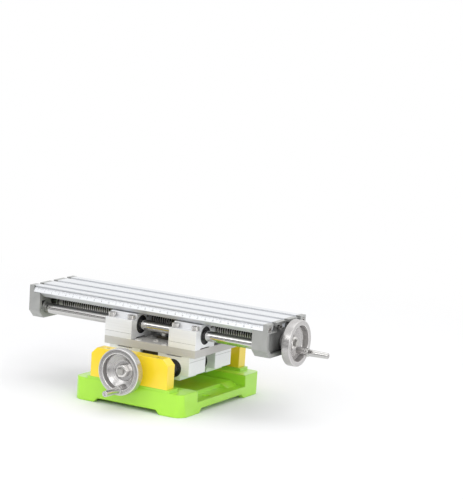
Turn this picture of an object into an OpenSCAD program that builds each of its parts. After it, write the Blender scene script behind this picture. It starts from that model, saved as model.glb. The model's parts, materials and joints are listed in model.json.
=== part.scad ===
// Compound cross-slide table: a T-slot table on round rods over a saddle, over a cast base.
// Origin: centre of the base underside. +X along the table, +Y back, +Z up. Millimetres.

/* [Base casting] */
// Width of the casting along X
base_w = 146; // [142:1:156]
// Depth of the casting along Y
base_d = 180; // [178:1:190]
// Height of the rim and shelves
base_h = 26; // [24:0.5:28]
// Height of the pads above the rim
pad_h = 3; // [2:0.5:4]
// Draft of each wall from foot to rim
draft = 1.5; // [0.5:0.25:2.5]
// Radius of the upright corners
corner_r = 13; // [9:0.5:14]
// Height of the tray floor
deck_z = 17.5; // [16.5:0.5:19]
// Height of the bolt ledges at the sides
ledge_z = 13; // [12:0.5:14.5]
// Width of each bolt ledge
ledge_w = 21; // [19:0.5:22]
// Length of each side notch
notch_l = 108; // [104:1:112]
// Height of the arches under the walls
arch_h = 5; // [4:0.5:6]
// Length of the front and rear arches at the foot
front_arch_l = 88; // [70:1:95]
// Length of the side arches at the foot
side_arch_l = 101; // [90:1:108]
// Run of the sloped arch ends
arch_slope = 5; // [3:0.5:7]
// Bolt holes in from the sides of the casting
bolt_hole_in = 12; // [11:0.5:13]
// Diameter of the bolt holes
bolt_hole_d = 10; // [9:0.5:11]
// Bolt holes from the middle, along Y
bolt_hole_y = -18; // [-24:1:-12]

/* [End blocks and cross rods] */
// Width of each end block
end_block_w = 102; // [98:1:104]
// Thickness of each end block
end_block_t = 15; // [14:0.5:16]
// Height of each end block
end_block_h = 34; // [32:0.5:35]
// Chamfer of the top corners along X
end_chamfer_x = 7; // [4:0.5:9]
// Chamfer of the top corners along Z
end_chamfer_z = 7; // [4:0.5:9]
// End blocks in from the front and rear of the casting
end_block_in = 2; // [1.75:0.25:3]
// Diameter of the guide rods
rod_d = 12; // [11:0.25:12.5]
// Distance between the cross rods
cross_rod_gap = 66; // [65:0.2:67]
// Height of the cross rods above the pads
cross_axis_h = 16; // [15.5:0.25:17]

/* [Bearing blocks] */
// Length of a block along its rod
block_l = 36; // [34:0.5:37]
// Width of a block across its rod
block_w = 42; // [41:0.25:42.5]
// Height of a block
block_h = 28; // [27.5:0.25:28.5]
// Rod axis above the mounting face
block_axis = 15; // [14.5:0.25:15.5]
// Shoulder above the mounting face
block_shoulder = 22; // [21:0.25:22.5]
// Bolt spacing along the rod
block_bolt_l = 26; // [25:0.25:26.5]
// Bolt spacing across the rod
block_bolt_w = 30.5; // [30:0.25:31]
// Diameter of the linear bearings
bearing_d = 21; // [20:0.25:21.5]

/* [Saddle] */
// Upper blocks outside the lower blocks, along X
upper_out = 10; // [10:0.2:10.6]
// Width of the plate along Y
plate_w = 100; // [99:0.5:101]
// Thickness of the plate
plate_t = 9; // [8.5:0.25:10]
// Gap between the front and rear lower blocks
lower_block_gap = 22; // [21:0.5:22.5]
// Lower blocks forward of the middle of the plate
lower_forward = 2.5; // [0:0.25:2.75]
// Distance between the long rods
long_rod_gap = 58; // [57:0.25:58.5]
// Saddle position along Y in the rest pose
saddle_y = 3; // [0:0.5:4]

/* [Table] */
// Length of the table
table_l = 310; // [290:2:330]
// Width of the table at the scale edge
table_w = 90; // [89:0.5:94]
// Thickness of the table
table_t = 13.5; // [13:0.25:14.5]
// Table position along X in the rest pose
table_x = -12; // [-20:1:0]
// Distance between the T-slots
slot_pitch = 28; // [27.5:0.25:29]
// Width of the T-slot mouth
slot_mouth = 8; // [7:0.25:9]
// Width of the T-slot cavity
slot_cavity_w = 13; // [12:0.25:13.5]
// Height of the T-slot cavity
slot_cavity_h = 5; // [4.5:0.25:5.25]
// Depth of the T-slots
slot_depth = 9.5; // [9.25:0.25:10]

/* [End brackets] */
// Thickness of the plate over each table end
bracket_plate_t = 6; // [5.5:0.25:7]
// Reach of the left bracket under the table
left_reach = 9; // [8.5:0.25:11]
// Reach of the right bracket under the table
right_reach = 13.5; // [12:0.5:15]
// Brackets in from each side of the table
bracket_in = 0.5; // [0.25:0.25:1]
// Height of the bracket below the table
bracket_drop = 25.5; // [25:0.25:26]
// Depth of the pocket in the outer face
bracket_pocket = 4; // [3:0.25:4.25]
// Depth of the hollow in the inner face
bracket_hollow = 7; // [5:0.25:8]
// Wall around the pockets
bracket_wall = 4.5; // [4:0.25:5]

/* [Lead screws] */
// Outside diameter of the lead screws
screw_d = 12; // [11:0.25:12.5]
// Diameter of the plain ends
journal_d = 8; // [7:0.25:9]
// Outside diameter of the bushes
bush_d = 15; // [14:0.5:16]
// Height of the long screw above the long rods
long_screw_rise = 3; // [2:0.25:4]

/* [Handwheels] */
// Radius of the wheels
wheel_r = 26.5; // [26:0.25:28]
// Width of the rim
rim_w = 10; // [9:0.5:12]
// Radial thickness of the rim
rim_t = 6; // [5.5:0.25:6.5]
// Depth of the dish at the rim
dish = 7.8; // [7:0.2:8.4]
// Fall of the web from the rim to the hub
web_fall = 5; // [3:0.25:5.5]
// Length of the hub behind the rim
hub_l = 12; // [11:0.25:13]
// Radius of the hub face in the dish
hub_face_r = 11.5; // [10:0.5:12]
// Radius at which the handle stands
handle_at = 20; // [19:0.25:20.25]
// Length of the handle
handle_l = 28; // [26:1:45]
// Diameter of the handle at its foot
handle_d = 8; // [6.5:0.25:8.5]
// Turn of the cross wheel at rest
cross_turn = 84; // [0:1:359]
// Turn of the long wheel at rest
long_turn = 322; // [0:1:359]

/* [Fits] */
// Radial clearance of parts that run in each other
run_fit = 0.05; // [0.02:0.01:0.08]
// Clearance at the thrust faces
thrust_fit = 0.1; // [0.05:0.05:0.2]
// Radial clearance of studs, screws and bearings in their seats
seat_fit = 0.03; // [0.02:0.01:0.05]
// Radial clearance around screw shanks
screw_clear = 0.25; // [0.2:0.05:0.3]
// Gap between the humps and the table
table_clear = 1; // [0.75:0.25:1.5]

/* [Hidden] */
$fn = 64;
eps = 1;
pad_top = base_h + pad_h;
cross_z = pad_top + cross_axis_h;
plate_z = cross_z + block_axis;
plate_top = plate_z + plate_t;
rod_z = plate_top + block_axis;
long_z = rod_z + long_screw_rise;
table_z = plate_top + block_h + table_clear;
table_top_z = table_z + table_t;
slot_rows = [-slot_pitch, 0, slot_pitch];
sides = [-1, 1];

// base casting
wall_t = 7;
ledge_x = base_w / 2 - ledge_w;
bolt_hole_x = base_w / 2 - bolt_hole_in;
end_span = base_d - 2 * end_block_in;
rib_w = 12;
ramp_l = 10;
ramp_y = 31;
rim_in_x = base_w / 2 - wall_t;
pad_w = end_block_w + 8;
pad_in_y = end_span / 2 - end_block_t - 3;
hollow_x = ledge_x - wall_t;
hollow_h = 12;
foot_in_x = base_w / 2 - wall_t;
foot_in_y = base_d / 2 - wall_t;

// end blocks
end_in_y = end_span / 2 - end_block_t;
end_mid_y = end_span / 2 - end_block_t / 2;
rod_seat = 11;
base_screw_d = 6;
base_screw_head_d = 10;
base_screw_head_h = 6;
base_screw_x = 18;
base_screw_in = 11;
base_seat_z = 12;
grub_d = 5;
grub_sink = 0.6;
grub_key_af = 2.5;
grub_key_h = 2.5;

// bearing blocks
groove_w = 20;
groove_h = 1.2;
bearing_proud = 0.4;
bearing_l = block_l + 2 * bearing_proud;
block_screw_d = 5;
block_head_d = 8.5;
block_head_h = 5;
block_key_af = 4;
block_key_h = 2.5;
head_gap = 0.25;
hump_w = block_bolt_w - block_head_d - 2 * head_gap;
hump_top_w = hump_w - 2;
upper_screw_in = plate_t - 1.5;
sunk_head_d = 9.8;
sunk_head_h = 2.6;
lower_screw_in = 12;
lower_x = cross_rod_gap / 2;
upper_x = lower_x + upper_out;
plate_l = 2 * upper_x + block_l;
upper_y = long_rod_gap / 2;
lower_y = lower_block_gap / 2 + block_l / 2;
lower_mid_y = saddle_y - lower_forward;

// nut blocks
cross_nut_gap = 1.4;
cross_nut_w = 2 * lower_x - block_w - 2 * cross_nut_gap;
cross_nut_l = 22;
cross_nut_y = -35;
cross_nut_under = 9.5;
cross_nut_screw_d = 6;
cross_nut_head_d = 10;
cross_nut_head_h = 3.4;
cross_nut_screw_in = 7;
long_nut_l = 20;
long_nut_w = 22;
long_nut_x = 14;
long_nut_over = 8;
foot_l = 40;
foot_w = 13;
foot_lap = 4;
foot_h = 3;
foot_x = long_nut_x - long_nut_l / 2 - foot_w;
foot_bolt_gap = 28;
foot_screw_in = 7;

// table section, half widths from the middle
table_edge_w = table_w / 2 - 2.5;
table_nose_z = table_z + 6;
table_under_w = table_w / 2 - 9;
edge_lip = 1.2;
edge_groove_h = 1.2;
edge_groove_in = 1.5;

// end brackets, along X from the table middle
left_in = table_l / 2 - left_reach;
right_in = table_l / 2 - right_reach;
bracket_out = table_l / 2 + bracket_plate_t;
bracket_web = bracket_out - bracket_pocket;
bracket_w = table_w - 2 * bracket_in;
bracket_z = table_z - bracket_drop;
bracket_chamfer = 9;
pad_corner_y = 23;
pad_corner_z = table_z + 2.5;
pocket_top = table_top_z - 3;
rod_boss_r = rod_d / 2 + 4;
screw_boss_r = bush_d / 2 + 3;
rod_web_skin = 1.5;
rod_end = bracket_web - rod_web_skin;
plate_screw_d = 4;
plate_head_d = 7;
plate_head_h = 4;
plate_screw_in = 10;
plate_screw_z = table_z + 7.5;
plate_screw_inner_y = slot_pitch / 2;
plate_screw_outer_y = table_w / 2 - 5.75;
plate_key_af = 3;
plate_key_h = 2;

// handwheels: height 0 is the back of the hub
wheel_front = hub_l + rim_w;
web_front = wheel_front - dish;
hub_top = web_front - web_fall;
hub_back_r = 9;
hub_back_l = 4;
edge_r = 1;
nut_af = 13;
nut_h = 6.5;
screw_past_nut = 3;
boss_r = 5.2;
boss_low = hub_l - 1.5;
boss_proud = 0.5;
boss_top = wheel_front + boss_proud;
stud_d = 6;
collar_d = 10;
collar_h = 3;
tip_d = handle_d - 1.2;
tip_chamfer = 1;
wheel_bore_d = journal_d;

green = [0.5, 0.85, 0.2];
yellow = [0.97, 0.76, 0.12];
steel = [0.75, 0.76, 0.78];
cast_grey = [0.66, 0.67, 0.68];
black = [0.1, 0.1, 0.11];
bronze = [0.6, 0.47, 0.28];

// Shapes used by more than one piece

module box(x0, x1, y0, y1, z0, z1) {
  translate([x0, y0, z0]) cube([x1 - x0, y1 - y0, z1 - z0]);
}

module along_x(x, y, z) {
  translate([x, y, z]) rotate([90, 0, 90]) children();
}

module along_y(x, y, z) {
  translate([x, y, z]) rotate([-90, 0, 0]) children();
}

module hex(af, h) {
  cylinder(d = af / cos(30), h = h, $fn = 6);
}

// A prism along X from a section in Y and Z
module prism_x(points, x0, x1) {
  along_x(x0, 0, 0) linear_extrude(x1 - x0) polygon(points);
}

// A prism along Y from a section in X and Z
module prism_y(points, y0, y1) {
  translate([0, y1, 0]) rotate([90, 0, 0]) linear_extrude(y1 - y0) polygon(points);
}

// A socket-head screw: the head stands on height 0, the shank goes down
module cap_screw(d, shank, head_d, head_h, key_af, key_h) {
  difference() {
    union() {
      translate([0, 0, -shank]) cylinder(d = d, h = shank + head_h / 2);
      cylinder(d = head_d, h = head_h);
    }
    translate([0, 0, head_h - key_h]) hex(key_af, key_h + eps);
  }
}

// A countersunk screw: the head top is at height 0
module sunk_screw(d, length, head_d, head_h, key_af, key_h) {
  difference() {
    union() {
      translate([0, 0, -length]) cylinder(d = d, h = length - key_h);
      translate([0, 0, -head_h]) cylinder(d1 = d, d2 = head_d, h = head_h);
    }
    translate([0, 0, -key_h / 2]) hex(key_af, key_h);
  }
}

// Base

module base_outline() {
  bottom_x = base_w / 2;
  bottom_y = base_d / 2;
  top_x = bottom_x - draft;
  top_y = bottom_y - draft;
  intersection() {
    rounded_prism();
    prism_y([[-bottom_x, 0], [bottom_x, 0], [top_x, base_h], [-top_x, base_h]], -base_d, base_d);
    prism_x([[-bottom_y, 0], [bottom_y, 0], [top_y, base_h], [-top_y, base_h]], -base_w, base_w);
  }
}

module rounded_prism() {
  half_x = base_w / 2;
  half_y = base_d / 2;
  box(-half_x + corner_r, half_x - corner_r, -half_y, half_y, 0, base_h);
  box(-half_x, half_x, -half_y + corner_r, half_y - corner_r, 0, base_h);
  for (x = sides, y = sides)
    translate([x * (half_x - corner_r), y * (half_y - corner_r), 0]) cylinder(r = corner_r, h = base_h);
}

// Section of an arch under a wall, with sloped ends
function arch_section(length) =
  let (half = length / 2, below = arch_slope * eps / arch_h)
  [[-half - below, -eps], [-half + arch_slope, arch_h], [half - arch_slope, arch_h], [half + below, -eps]];

module base_casting() {
  inner_y = notch_l / 2 - wall_t;
  color(green) {
    hollowed_casting();
    box(-rib_w / 2, rib_w / 2, -inner_y - eps, inner_y + eps, 0, hollow_h + eps);
    for (x = sides) prism_y([[x * (ledge_x - eps), ledge_z - eps], [x * (ledge_x - eps), deck_z],
      [x * ledge_x, deck_z], [x * (ledge_x + ramp_l), ledge_z], [x * (ledge_x + ramp_l), ledge_z - eps]],
      ramp_y, notch_l / 2 + eps);
  }
}

module hollowed_casting() {
  half_notch = notch_l / 2;
  difference() {
    union() {
      base_outline();
      for (y = sides) {
        near = y > 0 ? pad_in_y : -end_span / 2;
        far = y > 0 ? end_span / 2 : -pad_in_y;
        box(-pad_w / 2, pad_w / 2, near, far, base_h - eps, pad_top);
      }
    }
    box(-rim_in_x, rim_in_x, -half_notch, half_notch, deck_z, base_h + eps);
    for (x = sides) {
      near = x > 0 ? ledge_x : -base_w;
      far = x > 0 ? base_w : -ledge_x;
      box(near, far, -half_notch, half_notch, ledge_z, base_h + eps);
      translate([x * bolt_hole_x, bolt_hole_y, -eps]) cylinder(d = bolt_hole_d, h = base_h);
    }
    box(-foot_in_x, foot_in_x, -foot_in_y, foot_in_y, -eps, arch_h);
    box(-hollow_x, hollow_x, -half_notch + wall_t, half_notch - wall_t, -eps, hollow_h);
    prism_y(arch_section(front_arch_l), -base_d, base_d);
    prism_x(arch_section(side_arch_l), -base_w, base_w);
    at_base_screws() {
      translate([0, 0, base_seat_z - eps]) cylinder(d = base_screw_d + 2 * screw_clear, h = pad_top);
      translate([0, 0, -eps]) cylinder(d = base_screw_head_d + 2 * screw_clear, h = base_seat_z + eps);
    }
  }
}

module at_base_screws() {
  for (x = sides, y = sides) translate([x * base_screw_x, y * end_mid_y, 0]) children();
}

module at_grubs() {
  for (x = sides, y = sides) translate([x * lower_x, y * end_mid_y, 0]) children();
}

// side is -1 for the front block and 1 for the rear block
module end_block(side, bush_through) {
  half = end_block_w / 2;
  top = pad_top + end_block_h;
  near = side > 0 ? end_in_y : -end_span / 2;
  far = side > 0 ? end_span / 2 : -end_in_y;
  bush_deep = bush_through ? end_block_t + eps : rod_seat;
  color(yellow) difference() {
    prism_y([[-half, pad_top], [half, pad_top], [half, top - end_chamfer_z], [half - end_chamfer_x, top],
      [-half + end_chamfer_x, top], [-half, top - end_chamfer_z]], near, far);
    for (x = sides) from_inside(side, x * lower_x) cylinder(d = rod_d, h = rod_seat);
    from_inside(side, 0) cylinder(d = bush_d, h = bush_deep);
    at_base_screws() translate([0, 0, pad_top - eps])
      cylinder(d = base_screw_d + 2 * seat_fit, h = base_screw_in + eps);
    at_grubs() translate([0, 0, cross_z]) cylinder(d = grub_d, h = end_block_h);
  }
}

// From the inner face of an end block outward
module from_inside(side, x) {
  translate([x, side * end_in_y, cross_z]) rotate([-90 * side, 0, 0]) children();
}

module front_end_block() { end_block(-1, true); }
module rear_end_block() { end_block(1, false); }

module end_block_screws() {
  color(steel) at_base_screws() translate([0, 0, base_seat_z]) rotate([180, 0, 0])
    cap_screw(base_screw_d, pad_top + base_screw_in - base_seat_z, base_screw_head_d, base_screw_head_h,
      block_key_af, block_key_h);
}

module cross_rod(x) {
  reach = end_in_y + rod_seat;
  color(steel) along_y(x, -reach, cross_z) cylinder(d = rod_d, h = 2 * reach);
}

module cross_rod_left() { cross_rod(-lower_x); }
module cross_rod_right() { cross_rod(lower_x); }

module rod_set_screws() {
  low = cross_z + rod_d / 2;
  high = pad_top + end_block_h - grub_sink;
  color(black) difference() {
    at_grubs() translate([0, 0, low]) cylinder(d = grub_d, h = high - low);
    at_grubs() translate([0, 0, high - grub_key_h]) hex(grub_key_af, grub_key_h + eps);
  }
}

module bush(length) {
  difference() {
    cylinder(d = bush_d, h = length);
    translate([0, 0, -eps]) cylinder(d = journal_d + 2 * run_fit, h = length + 2 * eps);
  }
}

module cross_bush_front() { color(bronze) from_inside(-1, 0) bush(end_block_t); }
module cross_bush_rear() { color(bronze) from_inside(1, 0) bush(rod_seat); }

// Cross screw and handwheels

module cross_screw() {
  body = end_in_y - thrust_fit;
  front_end = end_span / 2 + thrust_fit + hub_top + nut_h + screw_past_nut;
  color(steel) {
    along_y(0, -body, cross_z) cylinder(d = screw_d, h = 2 * body);
    along_y(0, -front_end, cross_z) cylinder(d = journal_d, h = front_end);
    along_y(0, 0, cross_z) cylinder(d = journal_d, h = end_in_y + rod_seat - thrust_fit);
  }
}

// Wheel about +Z, with the back of its hub at height 0
module handwheel() {
  rim_in = wheel_r - rim_t;
  difference() {
    union() {
      rotate_extrude() polygon([[0, 0], [hub_back_r, 0], [hub_back_r, hub_back_l], [rim_in, hub_l],
        [wheel_r - edge_r, hub_l], [wheel_r, hub_l + edge_r], [wheel_r, wheel_front - edge_r],
        [wheel_r - edge_r, wheel_front], [rim_in + edge_r, wheel_front], [rim_in, wheel_front - edge_r],
        [rim_in, web_front], [hub_face_r, hub_top], [0, hub_top]]);
      translate([handle_at, 0, boss_low]) cylinder(r = boss_r, h = boss_top - boss_low);
    }
    translate([0, 0, -eps]) cylinder(d = wheel_bore_d, h = wheel_front);
    translate([handle_at, 0, boss_low - eps]) cylinder(d = stud_d + 2 * seat_fit, h = boss_top);
  }
}

module wheel_nut() {
  translate([0, 0, hub_top]) difference() {
    hex(nut_af, nut_h);
    translate([0, 0, -eps]) cylinder(d = journal_d, h = nut_h + 2 * eps);
  }
}

module handle() {
  translate([handle_at, 0, boss_top]) {
    translate([0, 0, boss_low - boss_top]) cylinder(d = stud_d, h = boss_top - boss_low + collar_h);
    cylinder(d = collar_d, h = collar_h);
    translate([0, 0, collar_h]) cylinder(d1 = handle_d, d2 = tip_d, h = handle_l - collar_h - tip_chamfer);
    translate([0, 0, handle_l - tip_chamfer])
      cylinder(d1 = tip_d, d2 = tip_d - 2 * tip_chamfer, h = tip_chamfer);
  }
}

module on_cross_screw() {
  translate([0, -end_span / 2 - thrust_fit, cross_z]) rotate([90, 0, 0]) rotate([0, 0, -cross_turn])
    children();
}

module on_long_screw() {
  along_x(table_x + bracket_web + thrust_fit, saddle_y, long_z) rotate([0, 0, long_turn]) children();
}

module cross_handwheel() { color(cast_grey) on_cross_screw() handwheel(); }
module cross_wheel_nut() { color(steel) on_cross_screw() wheel_nut(); }
module cross_handle() { color(steel) on_cross_screw() handle(); }

// Saddle

module at_block_bolts(across_x) {
  along = block_bolt_l / 2;
  across = block_bolt_w / 2;
  for (a = sides, b = sides)
    translate(across_x ? [b * across, a * along, 0] : [a * along, b * across, 0]) children();
}

module at_upper_blocks() {
  for (x = sides, y = sides) translate([x * upper_x, saddle_y + y * upper_y, plate_top]) children();
}

module at_lower_blocks() {
  for (x = sides, y = sides) translate([x * lower_x, lower_mid_y + y * lower_y, plate_z]) children();
}

// Block with its rod along X and its mounting face at height 0, hump up
module bearing_block(bolt_d, bolt_deep) {
  half = block_w / 2;
  hump = hump_w / 2;
  crown = hump_top_w / 2;
  groove = groove_w / 2;
  difference() {
    along_x(-block_l / 2, 0, 0) linear_extrude(block_l)
      polygon([[-half, 0], [-groove, 0], [-groove, groove_h], [groove, groove_h], [groove, 0], [half, 0],
        [half, block_shoulder], [hump, block_shoulder], [crown, block_h], [-crown, block_h],
        [-hump, block_shoulder], [-half, block_shoulder]]);
    along_x(-block_l / 2 - eps, 0, block_axis)
      cylinder(d = bearing_d + 2 * seat_fit, h = block_l + 2 * eps);
    at_block_bolts(false) translate([0, 0, -eps]) cylinder(d = bolt_d, h = bolt_deep + eps);
  }
}

module bearing() {
  along_x(-bearing_l / 2, 0, block_axis) difference() {
    cylinder(d = bearing_d, h = bearing_l);
    translate([0, 0, -eps]) cylinder(d = rod_d + 2 * run_fit, h = bearing_l + 2 * eps);
  }
}

module on_upper(x, y) {
  translate([x * upper_x, saddle_y + y * upper_y, plate_top]) children();
}

module on_lower(x, y) {
  translate([x * lower_x, lower_mid_y + y * lower_y, plate_z]) rotate([180, 0, 90]) children();
}

module upper_block(x, y) {
  color(steel) on_upper(x, y) bearing_block(block_screw_d + 2 * screw_clear, block_h);
}

module lower_block(x, y) {
  color(steel) on_lower(x, y) bearing_block(block_screw_d, lower_screw_in);
}

module upper_bearing(x, y) { color(black) on_upper(x, y) bearing(); }
module lower_bearing(x, y) { color(black) on_lower(x, y) bearing(); }

module upper_block_screws() {
  color(steel) at_upper_blocks() at_block_bolts(false) translate([0, 0, block_shoulder])
    cap_screw(block_screw_d, block_shoulder + upper_screw_in, block_head_d, block_head_h,
      block_key_af, block_key_h);
}

module lower_block_screws() {
  color(steel) at_lower_blocks() at_block_bolts(true) translate([0, 0, plate_t])
    sunk_screw(block_screw_d, plate_t + lower_screw_in, sunk_head_d, sunk_head_h, block_key_af, block_key_h);
}

module saddle_plate() {
  half_l = plate_l / 2;
  half_w = plate_w / 2;
  color(cast_grey) difference() {
    box(-half_l, half_l, saddle_y - half_w, saddle_y + half_w, plate_z, plate_top);
    at_upper_blocks() at_block_bolts(false) translate([0, 0, -upper_screw_in])
      cylinder(d = block_screw_d, h = upper_screw_in + eps);
    at_lower_blocks() at_block_bolts(true) {
      translate([0, 0, -eps]) cylinder(d = block_screw_d + 2 * screw_clear, h = plate_t + 2 * eps);
      translate([0, 0, plate_t - sunk_head_h])
        cylinder(d1 = block_screw_d, d2 = sunk_head_d, h = sunk_head_h);
    }
    at_cross_nut_screw() {
      translate([0, 0, -eps]) cylinder(d = cross_nut_screw_d + 2 * screw_clear, h = plate_t + 2 * eps);
      translate([0, 0, plate_t - cross_nut_head_h])
        cylinder(d1 = cross_nut_screw_d, d2 = cross_nut_head_d, h = cross_nut_head_h);
    }
    at_foot_screws() translate([0, 0, -foot_screw_in]) cylinder(d = block_screw_d, h = foot_screw_in + eps);
  }
}

module at_cross_nut_screw() {
  translate([0, saddle_y + cross_nut_y, plate_z]) children();
}

module at_foot_screws() {
  for (y = sides) translate([foot_x + foot_w / 2, saddle_y + y * foot_bolt_gap / 2, plate_top]) children();
}

module cross_nut_block() {
  half_w = cross_nut_w / 2;
  near = saddle_y + cross_nut_y - cross_nut_l / 2;
  color(bronze) difference() {
    box(-half_w, half_w, near, near + cross_nut_l, cross_z - cross_nut_under, plate_z);
    along_y(0, near - eps, cross_z) cylinder(d = screw_d + 2 * run_fit, h = cross_nut_l + 2 * eps);
    at_cross_nut_screw() translate([0, 0, -cross_nut_screw_in])
      cylinder(d = cross_nut_screw_d, h = cross_nut_screw_in + eps);
  }
}

module cross_nut_screw() {
  color(steel) at_cross_nut_screw() translate([0, 0, plate_t])
    sunk_screw(cross_nut_screw_d, plate_t + cross_nut_screw_in, cross_nut_head_d, cross_nut_head_h,
      block_key_af, block_key_h);
}

module long_nut_block() {
  low = long_nut_x - long_nut_l / 2;
  high = long_nut_x + long_nut_l / 2;
  half_foot = foot_l / 2;
  color(bronze) difference() {
    union() {
      box(low, high, saddle_y - long_nut_w / 2, saddle_y + long_nut_w / 2, plate_top, long_z + long_nut_over);
      box(foot_x, low + foot_lap, saddle_y - half_foot, saddle_y + half_foot, plate_top, plate_top + foot_h);
    }
    along_x(low - eps, saddle_y, long_z) cylinder(d = screw_d + 2 * run_fit, h = long_nut_l + 2 * eps);
    at_foot_screws() translate([0, 0, -eps])
      cylinder(d = block_screw_d + 2 * screw_clear, h = foot_h + 2 * eps);
  }
}

module long_nut_screws() {
  color(steel) at_foot_screws() translate([0, 0, foot_h])
    cap_screw(block_screw_d, foot_h + foot_screw_in, block_head_d, block_head_h, block_key_af, block_key_h);
}

// Table

module t_slots(x0, x1) {
  mouth = slot_mouth / 2;
  cavity = slot_cavity_w / 2;
  floor_z = table_top_z - slot_depth;
  for (y = slot_rows) {
    box(x0, x1, y - mouth, y + mouth, floor_z, table_top_z + eps);
    box(x0, x1, y - cavity, y + cavity, floor_z, floor_z + slot_cavity_h);
  }
}

module on_table() {
  translate([table_x, saddle_y, 0]) children();
}

// The screws of one bracket: side is -1 at the left end and 1 at the right end
module at_plate_screws(side) {
  for (y = sides, row = [plate_screw_inner_y, plate_screw_outer_y])
    translate([side * bracket_web, y * row, plate_screw_z]) rotate([0, 90 * side, 0]) children();
}

// One side of the table section, from the underside up
function table_side(side) =
  let (groove_top = table_top_z - edge_lip, groove_low = groove_top - edge_groove_h)
  let (groove_w = table_edge_w - edge_groove_in)
  [[side * table_under_w, table_z], [side * table_w / 2, table_nose_z], [side * table_edge_w, groove_low],
    [side * groove_w, groove_low], [side * groove_w, groove_top], [side * table_edge_w, groove_top],
    [side * table_edge_w, table_top_z]];

function reversed(points) = [for (i = [len(points) - 1:-1:0]) points[i]];

module table_top() {
  half = table_l / 2;
  color(cast_grey) on_table() difference() {
    prism_x(concat(table_side(1), reversed(table_side(-1))), -half, half);
    t_slots(-half - eps, half + eps);
    for (side = sides) at_plate_screws(side) translate([0, 0, -plate_screw_in])
      cylinder(d = plate_screw_d, h = plate_screw_in);
  }
}

// Outline of a bracket below the table, drawn in by a wall
function bracket_section(inset, top) =
  let (half = bracket_w / 2 - inset, low = bracket_z + inset, cut = bracket_chamfer - inset / 2)
  [[-half, top], [-half, low + cut], [-half + cut, low], [half - cut, low], [half, low + cut], [half, top]];

// Right-hand bracket, in table coordinates, from its inner face outward
module bracket(inner) {
  half = bracket_w / 2;
  color(cast_grey) difference() {
    union() {
      prism_x(bracket_section(0, table_z), inner, bracket_out);
      box(table_l / 2, bracket_out, -half, half, table_z - eps, table_top_z);
    }
    difference() {
      prism_x(bracket_section(bracket_wall, table_z - bracket_wall), inner - eps, inner + bracket_hollow);
      for (y = sides) along_x(inner, y * upper_y, rod_z) cylinder(r = rod_boss_r, h = bracket_hollow);
      along_x(inner, 0, long_z) cylinder(r = screw_boss_r, h = bracket_hollow);
    }
    prism_x(bracket_section(bracket_wall, pad_corner_z), bracket_web, bracket_out + eps);
    box(bracket_web, bracket_out + eps, -pad_corner_y, pad_corner_y, table_z, pocket_top);
    t_slots(table_l / 2 - eps, bracket_out + eps);
    for (y = sides) along_x(inner - eps, y * upper_y, rod_z) cylinder(d = rod_d, h = rod_end - inner + eps);
    along_x(inner - eps, 0, long_z) cylinder(d = bush_d, h = bracket_out - inner);
    at_plate_screws(1) {
      translate([0, 0, -bracket_plate_t]) cylinder(d = plate_screw_d + 2 * screw_clear, h = bracket_out);
      cylinder(d = plate_head_d + 2 * screw_clear, h = bracket_out);
    }
  }
}

module right_bracket() { on_table() bracket(right_in); }
module left_bracket() { on_table() mirror([1, 0, 0]) bracket(left_in); }

module plate_screws(side) {
  color(steel) on_table() at_plate_screws(side)
    cap_screw(plate_screw_d, plate_screw_in, plate_head_d, plate_head_h, plate_key_af, plate_key_h);
}

module left_bracket_screws() { plate_screws(-1); }
module right_bracket_screws() { plate_screws(1); }

module long_rod(y) {
  color(steel) on_table() along_x(-rod_end, y * upper_y, rod_z) cylinder(d = rod_d, h = 2 * rod_end);
}

module long_rod_front() { long_rod(-1); }
module long_rod_rear() { long_rod(1); }

module long_bush(inner) {
  along_x(inner, 0, long_z) bush(bracket_web - inner);
}

module long_bush_right() { color(bronze) on_table() long_bush(right_in); }
module long_bush_left() { color(bronze) on_table() mirror([1, 0, 0]) long_bush(left_in); }

module long_screw() {
  left = left_in - thrust_fit;
  right = right_in - thrust_fit;
  left_end = bracket_web - thrust_fit;
  right_end = bracket_web + thrust_fit + hub_top + nut_h + screw_past_nut;
  color(steel) on_table() {
    along_x(-left, 0, long_z) cylinder(d = screw_d, h = left + right);
    along_x(-left_end, 0, long_z) cylinder(d = journal_d, h = left_end + right_end);
  }
}

module long_handwheel() { color(cast_grey) on_long_screw() handwheel(); }
module long_wheel_nut() { color(steel) on_long_screw() wheel_nut(); }
module long_handle() { color(steel) on_long_screw() handle(); }

base_casting();
front_end_block();
rear_end_block();
end_block_screws();
cross_rod_left();
cross_rod_right();
rod_set_screws();
cross_bush_front();
cross_bush_rear();
cross_screw();
cross_handwheel();
cross_wheel_nut();
cross_handle();
saddle_plate();
lower_block(-1, -1);  // lower_block_front_left
lower_block(1, -1);  // lower_block_front_right
lower_block(-1, 1);  // lower_block_rear_left
lower_block(1, 1);  // lower_block_rear_right
lower_bearing(-1, -1);  // lower_bearing_front_left
lower_bearing(1, -1);  // lower_bearing_front_right
lower_bearing(-1, 1);  // lower_bearing_rear_left
lower_bearing(1, 1);  // lower_bearing_rear_right
upper_block(-1, -1);  // upper_block_front_left
upper_block(1, -1);  // upper_block_front_right
upper_block(-1, 1);  // upper_block_rear_left
upper_block(1, 1);  // upper_block_rear_right
upper_bearing(-1, -1);  // upper_bearing_front_left
upper_bearing(1, -1);  // upper_bearing_front_right
upper_bearing(-1, 1);  // upper_bearing_rear_left
upper_bearing(1, 1);  // upper_bearing_rear_right
upper_block_screws();
lower_block_screws();
cross_nut_block();
cross_nut_screw();
long_nut_block();
long_nut_screws();
table_top();
left_bracket();
right_bracket();
long_rod_front();
long_rod_rear();
left_bracket_screws();
right_bracket_screws();
long_bush_left();
long_bush_right();
long_screw();
long_handwheel();
long_wheel_nut();
long_handle();
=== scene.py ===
import itertools
import json
import math

import bmesh
import bpy
from mathutils import Matrix, Vector


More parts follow.
